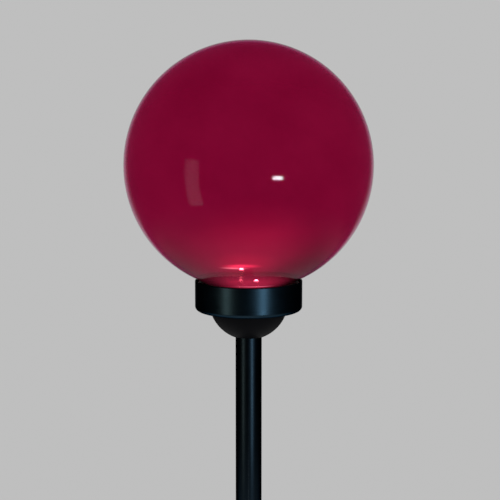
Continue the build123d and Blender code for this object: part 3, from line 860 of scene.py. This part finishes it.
# %% Dress the pieces
# The nickel colours hold painted light: their blue is the tint of cool light that the metal mirrors, and the
# collar's brighter copy is a painted highlight.
BLUE_LIT_NICKEL = (0.0145, 0.027, 0.040)
BRIGHTER_LIT_NICKEL = (0.026, 0.053, 0.078)
NICKEL_RUBBED = (0.06, 0.08, 0.10)
EDGE_TINT = (0.10, 0.11, 0.13)
SATIN = (0.28, 0.38)
ROUND_IT = (0.02, 0.02, 3.0)  # lines to a millimetre along each axis
ALONG_IT = (2.4, 2.4, 0.01)
BLACK = (0.0035, 0.0038, 0.0055)
SMOOTH_BLACK = (0.010, 0.010, 0.0115)

# Each finish has its name, its colour, its colour where it is rubbed, and how smooth and how rough it gets.
black_texture = moulded("black_texture", BLACK, (0.02, 0.02, 0.022), (0.45, 0.6), gloss=0.06)
black_smooth = moulded("black_smooth", SMOOTH_BLACK, (0.030, 0.030, 0.033), (0.22, 0.36), depth=0.006)
rubber = moulded("seal_rubber", (0.016, 0.016, 0.017), (0.03, 0.03, 0.03), (0.6, 0.8), size=0.9, gloss=0.3)
board_parts = moulded("chip_black", (0.012, 0.012, 0.012), (0.03, 0.03, 0.03), (0.4, 0.6), size=0.25)
white = moulded("switch_white", (0.62, 0.62, 0.60), (0.78, 0.78, 0.77), (0.25, 0.4), depth=0.006, dust=0.05)
zinc = drawn_metal("screw_zinc", (0.55, 0.56, 0.58), (0.75, 0.75, 0.76), (0.22, 0.42), (2.0, 2.0, 2.0))
nickel = drawn_metal("contact_nickel", (0.62, 0.60, 0.56), (0.75, 0.74, 0.72), (0.2, 0.34), (0.3, 3.0, 3.0))
collar_metal = drawn_metal("collar_metal", BRIGHTER_LIT_NICKEL, NICKEL_RUBBED, SATIN, ROUND_IT, EDGE_TINT)
pole_metal = drawn_metal("pole_metal", BLUE_LIT_NICKEL, NICKEL_RUBBED, SATIN, ALONG_IT, EDGE_TINT)
glass = crimson_glass()
led_lens = lit_lens("led_lens", glow=(1.0, 0.85, 0.45), strength=90.0)
led_spot = lit_lens("led_spot", glow=(1.0, 0.55, 0.45), strength=1.0)

FINISHES = {
    glass: ("crimson_ball",),
    rubber: ("ball_gasket", "lid_seal"),
    collar_metal: ("metal_collar",),
    pole_metal: ("lower_tube", "upper_tube"),
    black_texture: ("pole_cup", "threaded_ring"),
    black_smooth: ("light_plate", "housing_base", "joint_coupler", "finned_spike"),
    zinc: ("plate_screws", "cup_screws"),
    nickel: ("battery_contact", "battery_spring", "switch_body"),
    white: ("switch_thumb",),
    panel_face(): ("cell_panel",),
    led_lens: ("led_rear_lens", "led_front_lens"),
    led_spot: ("led_rear_spot", "led_front_spot"),
    board_green(): ("main_board",),
    board_parts: ("board_chip", "board_inductor"),
    cell_wrap(): ("battery_cell",),
    wire_cover("panel_wires", spacing=100.0, shift=2.2): ("panel_leads",),
    wire_cover("battery_wires", spacing=200.0, shift=0.0): ("battery_leads",),
    wire_cover("led_wires", spacing=12.0, shift=0.0): ("led_leads",),
}


def dress(piece, finish):
    """Put a finish in every material slot of a piece."""
    if not piece.material_slots:
        piece.data.materials.append(finish)
    for place in piece.material_slots:
        place.material = finish


for finish, names in FINISHES.items():
    for name in names:
        dress(bpy.data.objects[name], finish)
    print(f"{finish.name}: {', '.join(names)}")

# %% [markdown]
# The LEDs shine through the glass, but they don't light other pieces: a tiny lamp behind glass would only
# spot the picture with stray bright dots.

# %% Keep the LEDs' light to themselves
for finish in (led_lens, led_spot):
    finish.cycles.emission_sampling = "NONE"
for node in LED_NODES:
    for piece in (bpy.data.objects[f"{node}_spot"], bpy.data.objects[f"{node}_lens"]):
        piece.visible_diffuse = False

# %% [markdown]
# ## Studio
# The light stands on its spike's tip over a wide pale floor. The surroundings are as bright as the floor, so
# no horizon shows. Metal and glass have soft lamps of their own: two tall ones give collar and pole their
# upright bands, and two more give the ball its pale window and its short white glint. A dark dome with a dark
# ground, which only metal and glass can see, stands round the light. Without it they mirror a pale room on
# all sides and lose their depth. It is open far behind, where the rims mirror the pale room, and round the
# foot of the spike, where they mirror the floor.

# %% Floor and surroundings
PALE = 0.52  # how bright floor and room look
SKY = 0.66  # how bright the room's light is on the pieces
FLOOR_RADIUS = 30  # metres
FLOOR_EVENNESS = 0.75  # share of the floor's look that shadows don't reach


def seen_ray(tree):
    """1 for the rays that show a thing to the camera, straight, in a mirror or through glass."""
    ray = add(tree, "ShaderNodeLightPath").outputs
    seen = calculate(tree, "MAXIMUM", ray["Is Camera Ray"], ray["Is Glossy Ray"])
    return calculate(tree, "MAXIMUM", seen, ray["Is Transmission Ray"])


def lay_floor():
    bpy.ops.object.select_all(action="DESELECT")
    spike_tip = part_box("ground_spike")[0].z
    bpy.ops.mesh.primitive_circle_add(
        vertices=96, radius=FLOOR_RADIUS, fill_type="NGON", location=(0, 0, spike_tip)
    )
    floor = bpy.context.object
    floor.name = "pale_floor"
    bpy.ops.object.transform_apply(location=True, rotation=False, scale=False)
    finish, tree, shader = start_finish("pale_floor")
    shade = PALE / SKY
    feed(tree, shader.inputs["Base Color"], (shade, shade, shade, 1))
    feed(tree, shader.inputs["Roughness"], 0.9)
    feed(tree, shader.inputs["Specular IOR Level"], 0.0)
    even = add(tree, "ShaderNodeEmission", {"Color": (PALE, PALE, PALE, 1)})
    mixer = add(tree, "ShaderNodeMixShader")
    share = ramp(tree, seen_ray(tree), 0, 1, 0, FLOOR_EVENNESS)
    for socket, value in enumerate((share, shader.outputs[0], even.outputs[0])):
        feed(tree, mixer.inputs[socket], value)
    feed(tree, tree.nodes["Material Output"].inputs["Surface"], mixer.outputs[0])
    dress(floor, finish)


def light_surroundings():
    """A pale even room: what the camera, metal and glass see is as bright as the floor."""
    world = bpy.data.worlds.new("pale_room")
    bpy.context.scene.world = world
    world.use_nodes = True
    tree = world.node_tree
    background = tree.nodes["Background"]
    feed(tree, background.inputs["Color"], (1, 1, 1, 1))
    feed(tree, background.inputs["Strength"], ramp(tree, seen_ray(tree), 0, 1, SKY, PALE))


lay_floor()
light_surroundings()

# %% Dark curtain
CURTAIN_RADIUS = 1.8  # these are in metres
CURTAIN_BACK = (1.3, 1.75)  # it thins out between these places along Y
CURTAIN_FOOT = (0.3, 1.3)  # and the ground thickens between these distances from the origin


def hang_curtain():
    """A dark dome and ground that only glass and metal see, thin far behind the light and near its foot."""
    bpy.ops.object.select_all(action="DESELECT")
    bpy.ops.mesh.primitive_uv_sphere_add(segments=64, ring_count=32, radius=CURTAIN_RADIUS)
    curtain = bpy.context.object
    curtain.name = "dark_curtain"
    just_above_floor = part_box("ground_spike")[0].z + MM
    bpy.ops.object.mode_set(mode="EDIT")
    bpy.ops.mesh.select_all(action="SELECT")
    bpy.ops.mesh.bisect(plane_co=(0, 0, just_above_floor), plane_no=(0, 0, -1), clear_outer=True)
    bpy.ops.mesh.edge_face_add()
    bpy.ops.mesh.select_all(action="SELECT")
    bpy.ops.mesh.bisect(plane_co=(0, CURTAIN_BACK[1], 0), plane_no=(0, 1, 0), clear_outer=True)
    bpy.ops.object.mode_set(mode="OBJECT")
    finish, tree, shader = start_finish("dark_curtain")
    feed(tree, shader.inputs["Base Color"], (0.012, 0.012, 0.014, 1))
    feed(tree, shader.inputs["Roughness"], 1.0)
    feed(tree, shader.inputs["Specular IOR Level"], 0.0)
    place = place_on_object(tree)
    backwards = add(tree, "ShaderNodeSeparateXYZ", {"Vector": place}).outputs["Y"]
    away = add(tree, "ShaderNodeVectorMath", {0: place}, operation="LENGTH").outputs["Value"]
    in_front = ramp(tree, backwards, *CURTAIN_BACK, 1.0, 0.0, smooth=True)
    off_the_foot = ramp(tree, away, *CURTAIN_FOOT, 0.0, 1.0, smooth=True)
    feed(tree, shader.inputs["Alpha"], calculate(tree, "MULTIPLY", in_front, off_the_foot))
    dress(curtain, finish)
    curtain.visible_camera = curtain.visible_diffuse = False
    curtain.visible_shadow = curtain.visible_transmission = False


hang_curtain()

# %% Lamps
LAMP_DISTANCE = 1.2  # metres from the pole's axis


def soft_lamp(name, turn, height, width, tall, radiance, colour, on_ball):
    """Upright lamp, turned by degrees from the front, in metres: it lights the ball, or all else."""
    place = Vector((LAMP_DISTANCE * sin(radians(turn)), -LAMP_DISTANCE * cos(radians(turn)), height))
    lamp = bpy.data.lights.new(name, "AREA")
    lamp.shape = "RECTANGLE"
    lamp.size, lamp.size_y = width, tall
    lamp.energy = radiance * pi * width * tall
    lamp.color = colour
    holder = bpy.data.objects.new(name, lamp)
    bpy.context.scene.collection.objects.link(holder)
    holder.location = place
    inwards = Vector((-place.x, -place.y, 0))
    holder.rotation_euler = inwards.to_track_quat("-Z", "Y").to_euler()
    holder.visible_camera = holder.visible_diffuse = holder.visible_transmission = False
    select_only(ball)
    bpy.context.view_layer.objects.active = holder
    bpy.ops.object.light_linking_receivers_link(link_state="INCLUDE" if on_ball else "EXCLUDE")
    print(f"{name}: {lamp.energy:.1f} W over {width} by {tall} m")


LAMPS = (  # name, turn, height, width, tallness, radiance, colour, and whether it is for the ball
    ("left_lamp_for_metal", -47, 0.30, 0.24, 0.84, 2.4, (1.0, 0.84, 0.61), False),
    ("right_lamp_for_metal", 30, 0.33, 0.22, 0.84, 5.8, (0.82, 0.94, 1.0), False),
    ("left_lamp_for_ball", -50, 0.26, 0.28, 0.80, 5.0, (0.95, 0.90, 1.0), True),
    ("strip_lamp_for_ball", 25, 0.38, 0.18, 0.05, 420.0, (0.95, 0.95, 1.0), True),
)

for values in LAMPS:
    soft_lamp(*values)

# %% [markdown]
# ## Camera
# The photograph was taken from a little above, with a long lens. The camera stands 1.2 m away and looks down
# by 8 degrees, so the ball, the collar and the top of the pole fill a square picture as they do there.

# %% Camera
CAMERA_DISTANCE = 1.209  # metres, like the point it looks at
AIM = Vector((0.0011, 0, 0.4319))
CAMERA_DOWN = radians(8.0)
CAMERA_LENS = 108  # the lens and the width of its picture are in millimetres
FRAME_WIDTH = 36

lens = bpy.data.cameras.new("camera")
lens.lens = CAMERA_LENS
lens.sensor_width = FRAME_WIDTH
camera = bpy.data.objects.new("camera", lens)
bpy.context.scene.collection.objects.link(camera)
camera.location = AIM + CAMERA_DISTANCE * Vector((0, -cos(CAMERA_DOWN), sin(CAMERA_DOWN)))
camera.rotation_euler = (pi / 2 - CAMERA_DOWN, 0, 0)
bpy.context.scene.camera = camera
bpy.context.scene.view_settings.view_transform = "Standard"
print("camera, metres:", [round(x, 3) for x in camera.location])
